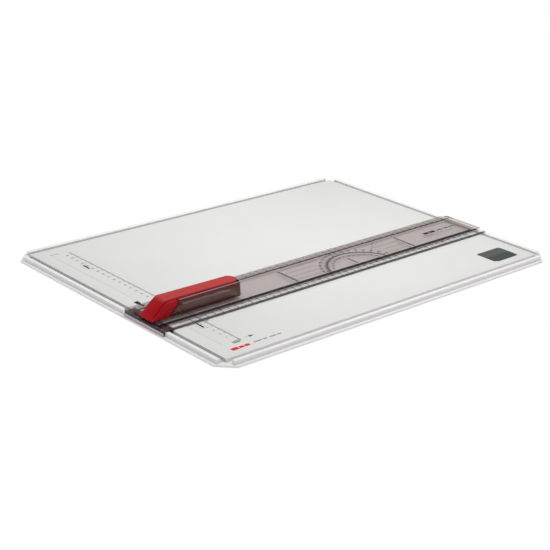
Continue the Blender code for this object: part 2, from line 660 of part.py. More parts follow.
def make_pivot_block():
    """Block on the head between the key's cheeks: two ears for the pin and the spring's cup."""
    y = KEY_MIDDLE
    half = 5.6 * mm
    floor = 14.6 * mm
    block = box("pivot_block", (-231 * mm, -197.5 * mm), (y - half, y + half),
                (KEY_BOTTOM, floor), BLACK)
    ear = arc((PIVOT_X, PIVOT_Z), 3.4 * mm, 0, 180, 8)
    ear += [(PIVOT_X - 3.4 * mm, floor - FUSE), (PIVOT_X + 3.4 * mm, floor - FUSE)]
    for side in (-1, 1):
        ends = sorted((y + side * half, y + side * (half - 2 * mm)))
        join(block, prism(f"ear_{side}", ear, "Y", ends))
    cut(block, cylinder("ear_hole", (PIVOT_X, PIVOT_Z), PIN_RADIUS + GAP,
                        (y - 8 * mm, y + 8 * mm), axis="Y", sides=24))
    join(block, cylinder("spring_cup", (SPRING_X, y), 4.6 * mm, (floor - FUSE, 20 * mm)))
    cut(block, cylinder("cup_bore", (SPRING_X, y), 3.5 * mm, (floor + 0.4 * mm, 21 * mm)))
    return block


def make_lock_key():
    """The red key: a top band that bends down into a wedge, cheeks beside it, hollow below."""
    slope_top = (-228.3 * mm, 29.2 * mm)
    bend = [(-226.9 * mm, 30.3 * mm), (-225.2 * mm, 31.0 * mm), (-223.0 * mm, KEY_TOP)]
    band = [(KEY_LEFT, KEY_BOTTOM), (CHEEK_RIGHT, KEY_BOTTOM), (-211.3 * mm, SKIRT_LOW),
            (KEY_RIGHT, SKIRT_LOW), (KEY_RIGHT, KEY_TOP_RIGHT)] + bend[::-1] + [slope_top]
    y = (KEY_MIDDLE - KEY_HALF, KEY_MIDDLE + KEY_HALF)
    key = prism("lock_key", band, "Y", y, RED)
    round_edges(key, lambda a, b: min(a.x, b.x) > KEY_RIGHT - 1e-6
                and abs(a.y - b.y) < 1e-6 and abs(a.z - b.z) > 1 * mm, 7.5 * mm, 6)
    round_edges(key, lambda a, b: abs(a.y - b.y) < 1e-6 and abs(a.y - KEY_MIDDLE) > 8 * mm
                and on_band_top(a) and on_band_top(b), 1.1 * mm, 3)

    cheek = [(KEY_LEFT + 0.6 * mm, KEY_BOTTOM), (CHEEK_RIGHT, KEY_BOTTOM), (-211.3 * mm, 23.3 * mm),
             (-210.8 * mm, 27.4 * mm), (-211.8 * mm, 28.4 * mm), (-219 * mm, 28.4 * mm),
             (-223.5 * mm, 28.1 * mm), (-226.9 * mm, 27.2 * mm), (-229.8 * mm, 25.3 * mm),
             (-232.4 * mm, 22.6 * mm), (-237.6 * mm, 17.4 * mm)]
    side_y = (KEY_MIDDLE - CHEEK_HALF, KEY_MIDDLE + CHEEK_HALF)
    cheeks = prism("cheeks", cheek, "Y", side_y)
    round_edges(cheeks, lambda a, b: abs(a.y - b.y) < 1e-6 and max(a.z, b.z) > 16 * mm,
                0.7 * mm, 3)
    lean_in(cheeks, KEY_MIDDLE, KEY_BOTTOM, math.radians(4.2))
    join(key, cheeks)

    inner = KEY_HALF - KEY_WALL
    ceiling = KEY_TOP - 2.2 * mm
    cavity = [(-240.5 * mm, KEY_BOTTOM - BEYOND), (-133.5 * mm, KEY_BOTTOM - BEYOND),
              (-133.5 * mm, ceiling), (-225.0 * mm, ceiling), (-227.5 * mm, 27.1 * mm),
              (-240.5 * mm, KEY_BOTTOM)]
    cut(key, prism("key_cavity", cavity, "Y", (KEY_MIDDLE - inner, KEY_MIDDLE + inner)))
    nose = [(-238.3 * mm, NOSE_LOW), (-233.9 * mm, NOSE_LOW), (-233.9 * mm, 21.5 * mm),
            (-238.3 * mm, 16.7 * mm)]
    overlap = inner + FUSE
    join(key, prism("nose", nose, "Y", (KEY_MIDDLE - overlap, KEY_MIDDLE + overlap)))
    join(key, cylinder("spring_peg", (SPRING_X, KEY_MIDDLE), 1.7 * mm, (24 * mm, 29.6 * mm)))
    cut(key, cylinder("pin_hole", (PIVOT_X, PIVOT_Z), PIN_RADIUS + GAP,
                      (KEY_MIDDLE - 9 * mm, KEY_MIDDLE + 9 * mm), axis="Y", sides=24))
    return key


def on_band_top(point):
    """True on the outer outline of the key's band: wedge slope, bend, top and right end."""
    on_slope = point.x < -228 * mm and point.z > KEY_BOTTOM + 0.1 * mm
    return on_slope or point.z > 29 * mm or (point.x < KEY_LEFT + 1e-6)


def make_key_pin():
    return cylinder("key_pin", (PIVOT_X, PIVOT_Z), PIN_RADIUS,
                    (KEY_MIDDLE - 8.7 * mm, KEY_MIDDLE + 8.7 * mm), axis="Y",
                    material=STEEL, sides=20)


def make_key_spring():
    """Compression spring that holds the key's right end up and so the brake on."""
    wire, coil, turns, per_turn = 0.35 * mm, 2.6 * mm, 5, 12
    bottom, top = 15.3 * mm + wire, 28.8 * mm - wire
    curve = bpy.data.curves.new("key_spring", "CURVE")
    curve.dimensions = "3D"
    curve.bevel_depth = wire
    curve.bevel_resolution = 2
    curve.use_fill_caps = True
    spline = curve.splines.new("POLY")
    count = turns * per_turn
    spline.points.add(count)
    for i, point in enumerate(spline.points):
        angle = 2 * math.pi * i / per_turn
        point.co = (coil * math.cos(angle), coil * math.sin(angle),
                    (top - bottom) * i / count, 1)
    curve.materials.append(STEEL)
    spring = bpy.data.objects.new("key_spring", curve)
    spring.location = (SPRING_X, KEY_MIDDLE, bottom)
    board_parts.objects.link(spring)
    return spring


def make_brake():
    """Plunger through the head, carrying a rubber pad that grips the floor of the groove."""
    at = (BRAKE_X, KEY_MIDDLE)
    plunger = cylinder("brake_plunger", at, 1.6 * mm, (8.3 * mm, NOSE_LOW - GAP),
                       material=BLACK, sides=24)
    join(plunger, cylinder("plunger_collar", at, 2.8 * mm, (13.0 * mm, 14.1 * mm), sides=24))
    pad = cylinder("brake_pad", at, 2.0 * mm, (FLANGE_TOP + GAP, 8.0 * mm),
                   material=RUBBER, sides=24)
    return plunger, pad


# ---------------------------------------------------------------- assembly

make_top_shell()
make_base_cover()
make_screws()
make_feet()
make_clamp()
make_corner_clip()

rail_pieces = [make_rail_blade(), make_housing(), make_pivot_block(), make_key_pin(),
               make_key_spring()]
rail_pieces += [make_guide_shoe(name, ends) for name, ends in SHOES.items()]
rail_axis = frame_at("rail_axis", (GROOVE_MIDDLE, RAIL_MIDDLE, SURFACE), rail_pieces)
frame_at("key_axis", (PIVOT_X, KEY_MIDDLE, PIVOT_Z), [make_lock_key()], rail_axis)
frame_at("brake_axis", (BRAKE_X, KEY_MIDDLE, SURFACE), make_brake(), rail_axis)
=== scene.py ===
"""Looks of the portable drawing board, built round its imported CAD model.

The CAD pieces keep their shapes and get node-based plastics, rubber and steel. The printed scales,
numbers, protractor and marks are thin closed meshes that ride on the piece they are printed on.
Units are metres; the frame is the CAD model's own.
"""

import math

import bmesh
import bpy
from mathutils import Matrix, Vector


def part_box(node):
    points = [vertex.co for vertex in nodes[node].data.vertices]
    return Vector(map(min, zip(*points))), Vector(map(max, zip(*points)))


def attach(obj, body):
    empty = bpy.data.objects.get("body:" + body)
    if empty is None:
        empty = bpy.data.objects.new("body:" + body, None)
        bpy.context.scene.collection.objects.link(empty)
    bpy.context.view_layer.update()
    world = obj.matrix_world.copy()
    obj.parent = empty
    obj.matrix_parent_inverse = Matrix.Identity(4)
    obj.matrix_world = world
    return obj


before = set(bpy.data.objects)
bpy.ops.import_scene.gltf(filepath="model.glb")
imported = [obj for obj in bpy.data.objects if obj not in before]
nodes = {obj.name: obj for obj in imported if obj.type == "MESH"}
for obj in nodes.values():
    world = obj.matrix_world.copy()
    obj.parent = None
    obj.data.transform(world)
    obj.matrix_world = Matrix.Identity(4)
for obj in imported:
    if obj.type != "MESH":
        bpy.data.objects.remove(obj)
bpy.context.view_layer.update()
mm = 0.001

# ---------------------------------------------------------------- places read from the frame

shell_low, shell_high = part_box("top_shell")
rail_low, rail_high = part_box("rail_blade")
bar_low, bar_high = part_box("clamp_bar")
key_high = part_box("lock_key")[1]
housing_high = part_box("key_housing")[1]

SURFACE = shell_high.z
WEB_TOP = rail_high.z
STRIP_DROP = 1.8 * mm  # the two scale strips lie this far below the web between them
STRIP_TOP = WEB_TOP - STRIP_DROP
RAIL_MIDDLE = (rail_low.y + rail_high.y) / 2
WEB_HALF = 22.35 * mm
WEB_FRONT = RAIL_MIDDLE - WEB_HALF
WEB_REAR = RAIL_MIDDLE + WEB_HALF
RAIL_WALL = 1.8 * mm

# Painted shade darkens the clip in front of this line.
CLIP_CREASE_Y = -147.4 * mm  # the clip slopes down in front of this line

GROOVE = (8.6 * mm, 14.1 * mm)  # its two sides, measured in from the board's outline
BARE_EDGE = 14.0 * mm  # the drawing surface starts this far in
# The groove's tone is painted shade, turned to paler painted light near the front edge.
GROOVE_SHADE_DEPTH = 0.75 * mm  # the groove's tone starts this far below the surface
FRONT_BAND = 16 * mm  # the groove nearer than this to the front edge is paler

FAR = 1.0  # metres: past the end of any piece

INK = 0.03 * mm  # thickness of a print
LIFT = 0.01 * mm  # its clearance over what it is printed on

# ---------------------------------------------------------------- material helpers


def node(tree, kind, inputs=None, **settings):
    """Adds a shader node. An input is given a value, or another node's output to follow."""
    made = tree.nodes.new(kind)
    for key, value in settings.items():
        setattr(made, key, value)
    for key, value in (inputs or {}).items():
        if isinstance(value, bpy.types.NodeSocket):
            tree.links.new(value, made.inputs[key])
        else:
            made.inputs[key].default_value = value
    return made


def material(name, **values):
    """A Principled material; values are set on the shader's own sockets."""
    made = bpy.data.materials.new(name)
    made.use_nodes = True
    tree = made.node_tree
    tree.nodes.clear()
    shader = node(tree, "ShaderNodeBsdfPrincipled")
    output = node(tree, "ShaderNodeOutputMaterial")
    tree.links.new(shader.outputs["BSDF"], output.inputs["Surface"])
    for key, value in values.items():
        shader.inputs[key.replace("_", " ")].default_value = value
    return made, tree, shader


def place(tree):
    """The point's place in the object's own frame, in metres."""
    return node(tree, "ShaderNodeTexCoord").outputs["Object"]


def noise(tree, size, detail=2.0, roughness=0.5, stretch=(1, 1, 1)):
    """Soft noise with features about this size."""
    spot = node(tree, "ShaderNodeMapping", {"Vector": place(tree), "Scale": stretch})
    made = node(tree, "ShaderNodeTexNoise", {
        "Vector": spot.outputs["Vector"], "Scale": 1 / size, "Detail": detail,
        "Roughness": roughness,
    })
    return made.outputs["Fac"]


def ramp(tree, fac, *stops):
    """A colour ramp through (position, colour) stops."""
    made = node(tree, "ShaderNodeValToRGB", {"Fac": fac})
    elements = made.color_ramp.elements
    while len(elements) < len(stops):
        elements.new(0.5)
    for element, (position, colour) in zip(elements, stops):
        element.position = position
        element.color = (*colour, 1)
    return made.outputs["Color"]


def spread(tree, fac, low, high, start=0.3, stop=0.7):
    """Maps a factor to a range of values."""
    made = node(tree, "ShaderNodeMapRange", {
        "Value": fac, "From Min": start, "From Max": stop, "To Min": low, "To Max": high,
    })
    return made.outputs["Result"]


def maths(tree, operation, a, b=0.0):
    """One sum on values or on other nodes' outputs."""
    made = node(tree, "ShaderNodeMath", operation=operation)
    for socket, value in zip(made.inputs, (a, b)):
        if isinstance(value, bpy.types.NodeSocket):
            tree.links.new(value, socket)
        else:
            socket.default_value = value
    return made.outputs["Value"]


def between(tree, value, low, high):
    """1 where the value lies between two limits, else 0."""
    return maths(tree, "MULTIPLY", maths(tree, "GREATER_THAN", value, low),
                 maths(tree, "LESS_THAN", value, high))


def blend_colours(tree, fac, first, second):
    """Mixes two colours by a factor."""
    made = node(tree, "ShaderNodeMixRGB", {"Fac": fac})
    for socket, value in ((made.inputs["Color1"], first), (made.inputs["Color2"], second)):
        if isinstance(value, bpy.types.NodeSocket):
            tree.links.new(value, socket)
        else:
            socket.default_value = (*value, 1)
    return made.outputs["Color"]


def tinted(colour, factor):
    """The colour made darker (below 1) or paler (above 1)."""
    return tuple(min(1, channel * factor) for channel in colour)


def mottled(tree, fac, colour, darker, paler, start=0.3, stop=0.7):
    """The colour, varied between two factors of itself as the noise goes from start to stop."""
    return ramp(tree, fac, (start, tinted(colour, darker)), (stop, tinted(colour, paler)))


def bump(tree, shader, *layers):
    """Stacks bump layers of (height, depth in metres)."""
    below = None
    for height, depth in layers:
        made = node(tree, "ShaderNodeBump", {
            "Height": height, "Distance": depth, "Strength": 1.0,
        })
        if below:
            tree.links.new(below, made.inputs["Normal"])
        below = made.outputs["Normal"]
    tree.links.new(below, shader.inputs["Normal"])


# ---------------------------------------------------------------- materials

CLOUD_SIZE, SPECKLE_SIZE, SHINE_SIZE = 60 * mm, 0.8 * mm, 25 * mm
CLOUD_DEPTH = 0.05 * mm
SHINE_SPREAD = 0.07  # how far the roughness strays from its middle value


def moulded(name, colour, roughness, grain=0.45 * mm, depth=0.012 * mm, variation=0.035, **more):
    """Opaque moulded plastic: fine grain, faint clouds and speckles, slightly uneven shine."""
    made, tree, shader = material(name, **more)
    cloudy = noise(tree, CLOUD_SIZE, 3, 0.6)
    speckle = noise(tree, SPECKLE_SIZE, 2)
    darker, paler = 1 - variation, 1 + variation
    tone = blend_colours(tree, 0.5, mottled(tree, cloudy, colour, darker, paler, 0.35, 0.65),
                         mottled(tree, speckle, colour, darker, paler))
    tree.links.new(tone, shader.inputs["Base Color"])
    shine = spread(tree, noise(tree, SHINE_SIZE, 4, 0.65), roughness - SHINE_SPREAD,
                   roughness + SHINE_SPREAD)
    tree.links.new(shine, shader.inputs["Roughness"])
    bump(tree, shader, (noise(tree, grain, 3, 0.6), depth), (cloudy, CLOUD_DEPTH))
    return made, tree, shader, tone


def steel(name, colour, roughness, along=(1, 1, 30)):
    """Steel with fine drawn lines along one direction."""
    made, tree, shader = material(name, Metallic=1.0)
    lines = noise(tree, 2 * mm, 4, 0.7, along)
    tree.links.new(mottled(tree, lines, colour, 0.85, 1.12), shader.inputs["Base Color"])
    tree.links.new(spread(tree, lines, roughness - 0.08, roughness + 0.1),
                   shader.inputs["Roughness"])
    bump(tree, shader, (lines, 0.01 * mm))
    return made


def rubber(name, colour):
    """Dull rubber with paler patches and a fine grain."""
    made, tree, shader = material(name, Roughness=0.8)
    patches = noise(tree, 3 * mm, 5, 0.7)
    tree.links.new(mottled(tree, patches, colour, 1, 2.2, 0.4, 0.75),
                   shader.inputs["Base Color"])
    bump(tree, shader, (noise(tree, 0.3 * mm, 2), 0.03 * mm))
    return made


def board_plastic():
    """The shell: a grey-white drawing surface, paler edges, and a greyer groove that is pale
    along the front. Each tone is set by place."""
    sheet, edges = (0.735, 0.742, 0.725), (0.88, 0.865, 0.87)
    groove, front_groove_light = (0.63, 0.64, 0.605), (0.82, 0.81, 0.79)
    made, tree, shader, plain = moulded("board_white", sheet, 0.5, depth=0.004 * mm,
                                       variation=0.01, Specular_IOR_Level=0.3)
    spot = node(tree, "ShaderNodeSeparateXYZ", {"Vector": place(tree)})
    from_edge_x = maths(tree, "SUBTRACT", shell_high.x, maths(tree, "ABSOLUTE", spot.outputs["X"]))
    from_edge_y = maths(tree, "SUBTRACT", shell_high.y, maths(tree, "ABSOLUTE", spot.outputs["Y"]))
    from_edge = maths(tree, "MINIMUM", from_edge_x, from_edge_y)
    # Paler edges: painted light that lifts the flange and ridge faces lying in shade.
    tone = blend_colours(tree, maths(tree, "LESS_THAN", from_edge, BARE_EDGE), plain, edges)
    # The groove's greyer tone is painted shade; along the front it is paler than the surface,
    # painted light.
    low = maths(tree, "LESS_THAN", spot.outputs["Z"], SURFACE - GROOVE_SHADE_DEPTH)
    in_groove = maths(tree, "MULTIPLY", between(tree, from_edge, *GROOVE), low)
    at_front = maths(tree, "LESS_THAN", spot.outputs["Y"], shell_low.y + FRONT_BAND)
    groove_light_and_shade = blend_colours(tree, at_front, groove, front_groove_light)
    tone = blend_colours(tree, in_groove, tone, groove_light_and_shade)
    tree.links.new(tone, shader.inputs["Base Color"])
    return made


class Smoke:
    """Clear tinted plastic whose tone and opacity are set zone by zone. The zones stand
    in for light lost in the thickness, which would darken rims and end faces. Nothing here
    refracts. Where zones overlap, the later one holds."""

    def __init__(self, name, colour, opacity):
        self.made, self.tree, self.shader = material(name, IOR=1.49, Specular_IOR_Level=0.3)
        spot = node(self.tree, "ShaderNodeSeparateXYZ", {"Vector": place(self.tree)})
        self.values = {"x": spot.outputs["X"], "y": spot.outputs["Y"], "z": spot.outputs["Z"]}
        cloudy = noise(self.tree, 18 * mm, 3, 0.6)
        self.tone = blend_colours(self.tree, spread(self.tree, cloudy, 0, 0.5), colour,
                                  tinted(colour, 0.8))
        # A blend at factor 0 is the plain opacity, as an output that zones can build on.
        self.opacity = blend_colours(self.tree, 0.0, (opacity,) * 3, (0, 0, 0))

    def zone(self, colour, opacity, **limits):
        """Sets the tone and opacity where each named value lies between its limits."""
        mask = None
        for key, (low, high) in limits.items():
            inside = between(self.tree, self.values[key], low, high)
            mask = maths(self.tree, "MULTIPLY", mask, inside) if mask else inside
        self.tone = blend_colours(self.tree, mask, self.tone, colour)
        self.opacity = blend_colours(self.tree, mask, self.opacity, (opacity,) * 3)

    def done(self):
        """Wires the zones to the shader, with a faint unevenness in shine and surface."""
        tree, shader = self.tree, self.shader
        tree.links.new(self.tone, shader.inputs["Base Color"])
        tree.links.new(self.opacity, shader.inputs["Alpha"])
        tree.links.new(spread(tree, noise(tree, 8 * mm, 4, 0.7), 0.06, 0.16),
                       shader.inputs["Roughness"])
        bump(tree, shader, (noise(tree, 12 * mm, 2), 0.02 * mm),
             (noise(tree, 0.5 * mm), 0.001 * mm))
        return self.made


def red_plastic():
    """Bright red, turning paler over the last few millimetres below the top: a painted sheen where
    the top catches the light.
    """
    red, painted_top_sheen = (0.42, 0.0035, 0.011), (0.46, 0.036, 0.034)
    made, tree, shader, plain = moulded("key_red", red, 0.3, depth=0.003 * mm, variation=0.02,
                                        Specular_IOR_Level=0.13)
    height = node(tree, "ShaderNodeSeparateXYZ", {"Vector": place(tree)}).outputs["Z"]
    sheen_rise = spread(tree, height, 0, 1, key_high.z - 3.2 * mm, key_high.z - 0.8 * mm)
    tree.links.new(blend_colours(tree, sheen_rise, plain, painted_top_sheen), shader.inputs["Base Color"])
    return made


def clip_plastic():
    """Dark grey, with painted shade on the sloping front half."""
    rear, front = (0.094, 0.102, 0.096), (0.056, 0.064, 0.065)
    made, tree, shader, plain = moulded("clip_grey", rear, 0.42, depth=0.004 * mm,
                                        variation=0.06, Specular_IOR_Level=0.12)
    across = node(tree, "ShaderNodeSeparateXYZ", {"Vector": place(tree)}).outputs["Y"]
    ahead = maths(tree, "LESS_THAN", across, CLIP_CREASE_Y)
    tree.links.new(blend_colours(tree, ahead, plain, front), shader.inputs["Base Color"])
    return made


def about(at, reach=0.06 * mm):
    """Limits a little either side of a place, to catch a face that lies there."""
    return (at - reach, at + reach)


def rail_plastic():
    """The rail, head and skirt, zoned by place."""
    deep, brown, pale = (0.022, 0.012, 0.016), (0.045, 0.022, 0.022), (0.66, 0.53, 0.56)
    under = (0.2, 0.11, 0.10)
    low_strip, ceiling = about(STRIP_TOP), about(WEB_TOP - 1.7 * mm, 0.04 * mm)
    wall = (STRIP_TOP + 0.06 * mm, WEB_TOP - 0.02 * mm)
    hollow = (0, WEB_TOP - 1.6 * mm)
    raised = (STRIP_TOP + 0.5 * mm, FAR)
    left_end = about(rail_low.x, 0.3 * mm)
    skirt_rim = STRIP_TOP - 2.2 * mm
    rail = Smoke("rail_smoke", (0.24, 0.095, 0.085), 0.27)
    # Undersides, nearly clear.
    rail.zone(under, 0.05, z=ceiling)
    rail.zone(under, 0.05, z=about(SURFACE, 0.6 * mm))
    # Long side faces, painted shade for light lost in the thickness: dark in front, fainter
    # behind, and nearly clear inside the hollow.
    rail.zone(brown, 0.85, y=about(rail_low.y, 0.22 * mm))
    rail.zone(brown, 0.25, y=about(rail_high.y, 0.2 * mm))
    rail.zone(deep, 0.95, y=about(WEB_FRONT, 0.3 * mm), z=wall)
    rail.zone(deep, 0.90, y=about(WEB_REAR, 0.3 * mm), z=wall)
    rail.zone(brown, 0.04, y=about(WEB_FRONT + RAIL_WALL), z=hollow)
    rail.zone(brown, 0.04, y=about(WEB_REAR - RAIL_WALL), z=hollow)
    rail.zone(brown, 0.06, x=(rail_high.x - 5 * mm, FAR), z=(0, STRIP_TOP - 0.1 * mm))
    # The rear strip, the front strip, and the web's right end in two steps.
    rail.zone((0.17, 0.08, 0.07), 0.40, z=low_strip, y=(WEB_REAR + 0.5 * mm, FAR))
    rail.zone((0.30, 0.12, 0.10), 0.06, z=low_strip, y=(-FAR, WEB_FRONT))
    rail.zone((0.20, 0.09, 0.08), 0.48, z=raised,
              x=(rail_high.x - 16.5 * mm, rail_high.x - 8 * mm))
    rail.zone((0.26, 0.16, 0.15), 0.42, z=raised, x=(rail_high.x - 8 * mm, FAR))
    # Dark lines on top, painted shade for light lost at the rims and in the crease at the web's
    # foot: front rim, foot of the web, rear rim of the web, left rim of the strips, rear corner of
    # the web's right end, and left rim of the head.
    rail.zone(deep, 0.93, z=low_strip, y=(-FAR, rail_low.y + 2.0 * mm))
    rail.zone(deep, 0.94, z=low_strip, y=(WEB_FRONT - 2.3 * mm, WEB_FRONT + 0.1 * mm))
    rail.zone(deep, 0.75, z=(WEB_TOP - 0.4 * mm, FAR), y=(WEB_REAR - 1.5 * mm, FAR))
    rail.zone(deep, 0.88, z=low_strip, x=(-FAR, rail_low.x + 3.5 * mm))
    rail.zone(brown, 0.6, z=(STRIP_TOP - 0.06 * mm, FAR), x=(rail_high.x - 4 * mm, FAR),
              y=(WEB_REAR - 2.4 * mm, WEB_REAR - 0.4 * mm))
    rail.zone(deep, 0.7, z=raised, x=(-FAR, rail_low.x + 5.2 * mm))
    # The skirt over the board's left edge is pale, painted light on the clear plastic, with a dark
    # upper edge of painted shade.
    rail.zone(pale, 0.8, x=left_end, z=(0, skirt_rim))
    rail.zone(deep, 0.9, x=left_end, z=(skirt_rim, FAR))
    return rail.done()


def housing_plastic():
    """The housing's walls: a dark foot of painted shade, a denser but paler band over it, a
    thinner red-brown tone above that, a dark upright at the right end, painted shade for light
    lost in its thickness, and a pale top rim, a painted highlight where the rim's top face catches
    the light."""
    foot_top, band_top = WEB_TOP + 3.0 * mm, WEB_TOP + 9.0 * mm
    wall = Smoke("housing_smoke", (0.17, 0.045, 0.040), 0.5)
    # Painted shade at the foot of the walls.
    wall.zone((0.085, 0.026, 0.025), 0.62, z=(0, foot_top))
    wall.zone((0.16, 0.075, 0.068), 0.72, z=(foot_top, band_top))
    # Painted shade on the right end's upright.
    wall.zone((0.04, 0.02, 0.022), 0.85, x=(housing_high.x - 2.4 * mm, housing_high.x - 0.6 * mm),
              y=(-FAR, RAIL_MIDDLE))
    # Painted highlight on the top rim.
    wall.zone((0.30, 0.28, 0.31), 0.8, z=(housing_high.z - 0.5 * mm, FAR))
    return wall.done()


def print_ink(name, colour):
    """Printed ink of slightly uneven density."""
    made, tree, shader = material(name, Specular_IOR_Level=0.15)
    density = noise(tree, 0.6 * mm, 3, 0.7)
    tree.links.new(mottled(tree, density, colour, 0.85, 1.25), shader.inputs["Base Color"])
    tree.links.new(spread(tree, density, 0.4, 0.6), shader.inputs["Roughness"])
    bump(tree, shader, (density, 0.004 * mm))
    return made


WHITE = board_plastic()
BAR_WHITE = moulded("bar_white", (0.725, 0.732, 0.712), 0.48, depth=0.004 * mm, variation=0.01,
                    Specular_IOR_Level=0.3)[0]
COVER = moulded("cover_grey", (0.55, 0.55, 0.545), 0.6, grain=0.9 * mm, depth=0.006 * mm)[0]
CLIP = clip_plastic()
BLACK = moulded("black_plastic", (0.012, 0.011, 0.012), 0.35, variation=0.2)[0]
RED = red_plastic()
RUBBER = rubber("rubber_black", (0.02, 0.02, 0.021))
SCREW = steel("zinc_steel", (0.56, 0.57, 0.60), 0.35)
PIN = steel("ground_steel", (0.60, 0.60, 0.61), 0.22, (1, 30, 1))
SHEET = steel("sheet_steel", (0.50, 0.51, 0.53), 0.35, (30, 1, 1))
NICKEL = steel("nickel", (0.62, 0.60, 0.56), 0.18, (1, 1, 1))
RAIL = rail_plastic()
HOUSING = housing_plastic()
INK_GREY = print_ink("ink_grey", (0.055, 0.055, 0.058))
INK_SOFT = print_ink("ink_soft_grey", (0.16, 0.165, 0.16))
INK_DIM = print_ink("ink_dim_grey", (0.10, 0.10, 0.098))
INK_MID = print_ink("ink_mid_grey", (0.36, 0.385, 0.37))
INK_PALE = print_ink("ink_pale_grey", (0.46, 0.47, 0.46))
INK_VIOLET = print_ink("ink_violet_grey", (0.30, 0.28, 0.34))
INK_BLACK = print_ink("ink_black", (0.006, 0.006, 0.006))
INK_RED = print_ink("ink_red", (0.66, 0.015, 0.022))

FINISHES = {
    "top_shell": WHITE, "clamp_bar": BAR_WHITE, "base_cover": COVER, "corner_clip": CLIP,
    "clip_magnet": NICKEL, "keeper_plate": SHEET, "rail_blade": RAIL, "key_housing": HOUSING,
    "guide_shoe": BLACK, "pivot_block": BLACK, "brake_plunger": BLACK, "brake_pad": RUBBER,
    "lock_key": RED, "foot": RUBBER, "base_screw": SCREW, "clamp_pin": PIN, "key_pin": PIN,
    "clamp_spring": SHEET, "key_spring": SHEET,
}

# ---------------------------------------------------------------- CAD pieces

WELD = 0.002 * mm
SHARP = math.radians(38)  # an edge this steep stays sharp


def smoothing_group():
    """Geometry nodes that weld a mesh and shade it smooth except across sharp edges."""
    group = bpy.data.node_groups.new("smooth_by_angle", "GeometryNodeTree")
    socket = "NodeSocketGeometry"
    group.interface.new_socket("Geometry", in_out="INPUT", socket_type=socket)
    group.interface.new_socket("Geometry", in_out="OUTPUT", socket_type=socket)
    start = group.nodes.new("NodeGroupInput")
    end = group.nodes.new("NodeGroupOutput")
    weld = node(group, "GeometryNodeMergeByDistance", {"Distance": WELD})
    angle = node(group, "GeometryNodeInputMeshEdgeAngle")
    soft = node(group, "FunctionNodeCompare", operation="LESS_THAN", data_type="FLOAT")
    soft.inputs["B"].default_value = SHARP
    faces = node(group, "GeometryNodeSetShadeSmooth", domain="FACE")
    edges = node(group, "GeometryNodeSetShadeSmooth", domain="EDGE")
    link = group.links.new
    link(start.outputs["Geometry"], weld.inputs["Geometry"])
    link(weld.outputs["Geometry"], faces.inputs["Geometry"])
    link(faces.outputs["Geometry"], edges.inputs["Geometry"])
    link(angle.outputs["Unsigned Angle"], soft.inputs["A"])
    link(soft.outputs["Result"], edges.inputs["Shade Smooth"])
    link(edges.outputs["Geometry"], end.inputs["Geometry"])
    return group


def finish_cad_pieces():
    """Gives each CAD piece its material and its shading."""
    smoothing = smoothing_group()
    for name, obj in nodes.items():
        look = next(FINISHES[key] for key in FINISHES if name.startswith(key))
        obj.data.materials.clear()
        obj.data.materials.append(look)
        obj.modifiers.new("smooth", "NODES").node_group = smoothing


# ---------------------------------------------------------------- prints


class Print:
    """Flat ink shapes gathered into one mesh at one height."""

    def __init__(self, name, height, ink, body):
        self.name, self.height, self.ink, self.body = name, height + LIFT, ink, body
        self.bm = bmesh.new()

    def shape(self, outline):
        """A flat closed outline, given the ink's thickness."""
        low = [self.bm.verts.new((x, y, self.height)) for x, y in outline]
        face = self.bm.faces.new(low)
        face.normal_update()
        if face.normal.z < 0:
            face.normal_flip()
        raised = bmesh.ops.extrude_face_region(self.bm, geom=[face])
        tops = [item for item in raised["geom"] if isinstance(item, bmesh.types.BMVert)]
        bmesh.ops.translate(self.bm, verts=tops, vec=(0, 0, INK))

    def bar(self, x, y):
        """A rectangle with (low, high) limits."""
        self.shape([(x[0], y[0]), (x[1], y[0]), (x[1], y[1]), (x[0], y[1])])

    def line(self, start, stop, width):
        """A straight line between two points."""
        start, stop = Vector(start), Vector(stop)
        side = (stop - start).orthogonal().normalized() * width / 2
        self.shape([start + side, start - side, stop - side, stop + side])

    def arc(self, centre, radius, width, start, stop, steps):
        """A curved line; angles in degrees."""
        angles = [math.radians(start + (stop - start) * i / steps) for i in range(steps + 1)]
        inner, outer = radius - width / 2, radius + width / 2
        rim = [(centre[0] + outer * math.cos(a), centre[1] + outer * math.sin(a)) for a in angles]
        rim += [(centre[0] + inner * math.cos(a), centre[1] + inner * math.sin(a))
                for a in reversed(angles)]
        self.shape(rim)

    def number(self, value, at, size, turn=0.0):
        """A number centred at a point, turned by an angle in degrees."""
        drawing = bpy.data.curves.new("number", "FONT")
        drawing.body = str(value)
        drawing.size = size
        drawing.align_x = "CENTER"
        drawing.align_y = "CENTER"
        drawing.resolution_u = 2
        drawing.extrude = INK / 2
        drawing.offset = 0.03 * size  # thickens the strokes
        obj = bpy.data.objects.new("number", drawing)
        bpy.context.scene.collection.objects.link(obj)
        bpy.context.view_layer.update()
        graph = bpy.context.evaluated_depsgraph_get()
        mesh = bpy.data.meshes.new_from_object(obj.evaluated_get(graph))
        spot = Vector((at[0], at[1], self.height + INK / 2))
        mesh.transform(Matrix.Translation(spot) @ Matrix.Rotation(math.radians(turn), 4, "Z"))
        self.bm.from_mesh(mesh)
        bpy.data.objects.remove(obj)
        bpy.data.meshes.remove(mesh)
        bpy.data.curves.remove(drawing)

    def done(self):
        """Makes the object and lets it ride on its body. It casts no shadow, which would show a
        second time on the board under the clear rail."""
        bmesh.ops.remove_doubles(self.bm, verts=self.bm.verts, dist=0.001 * mm)
        mesh = bpy.data.meshes.new(self.name)
        self.bm.to_mesh(mesh)
        self.bm.free()
        mesh.materials.append(self.ink)
        obj = bpy.data.objects.new(self.name, mesh)
        bpy.context.scene.collection.objects.link(obj)
        obj.visible_shadow = False
        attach(obj, self.body)


def finish_prints(*prints):
    for made in prints:
        made.done()


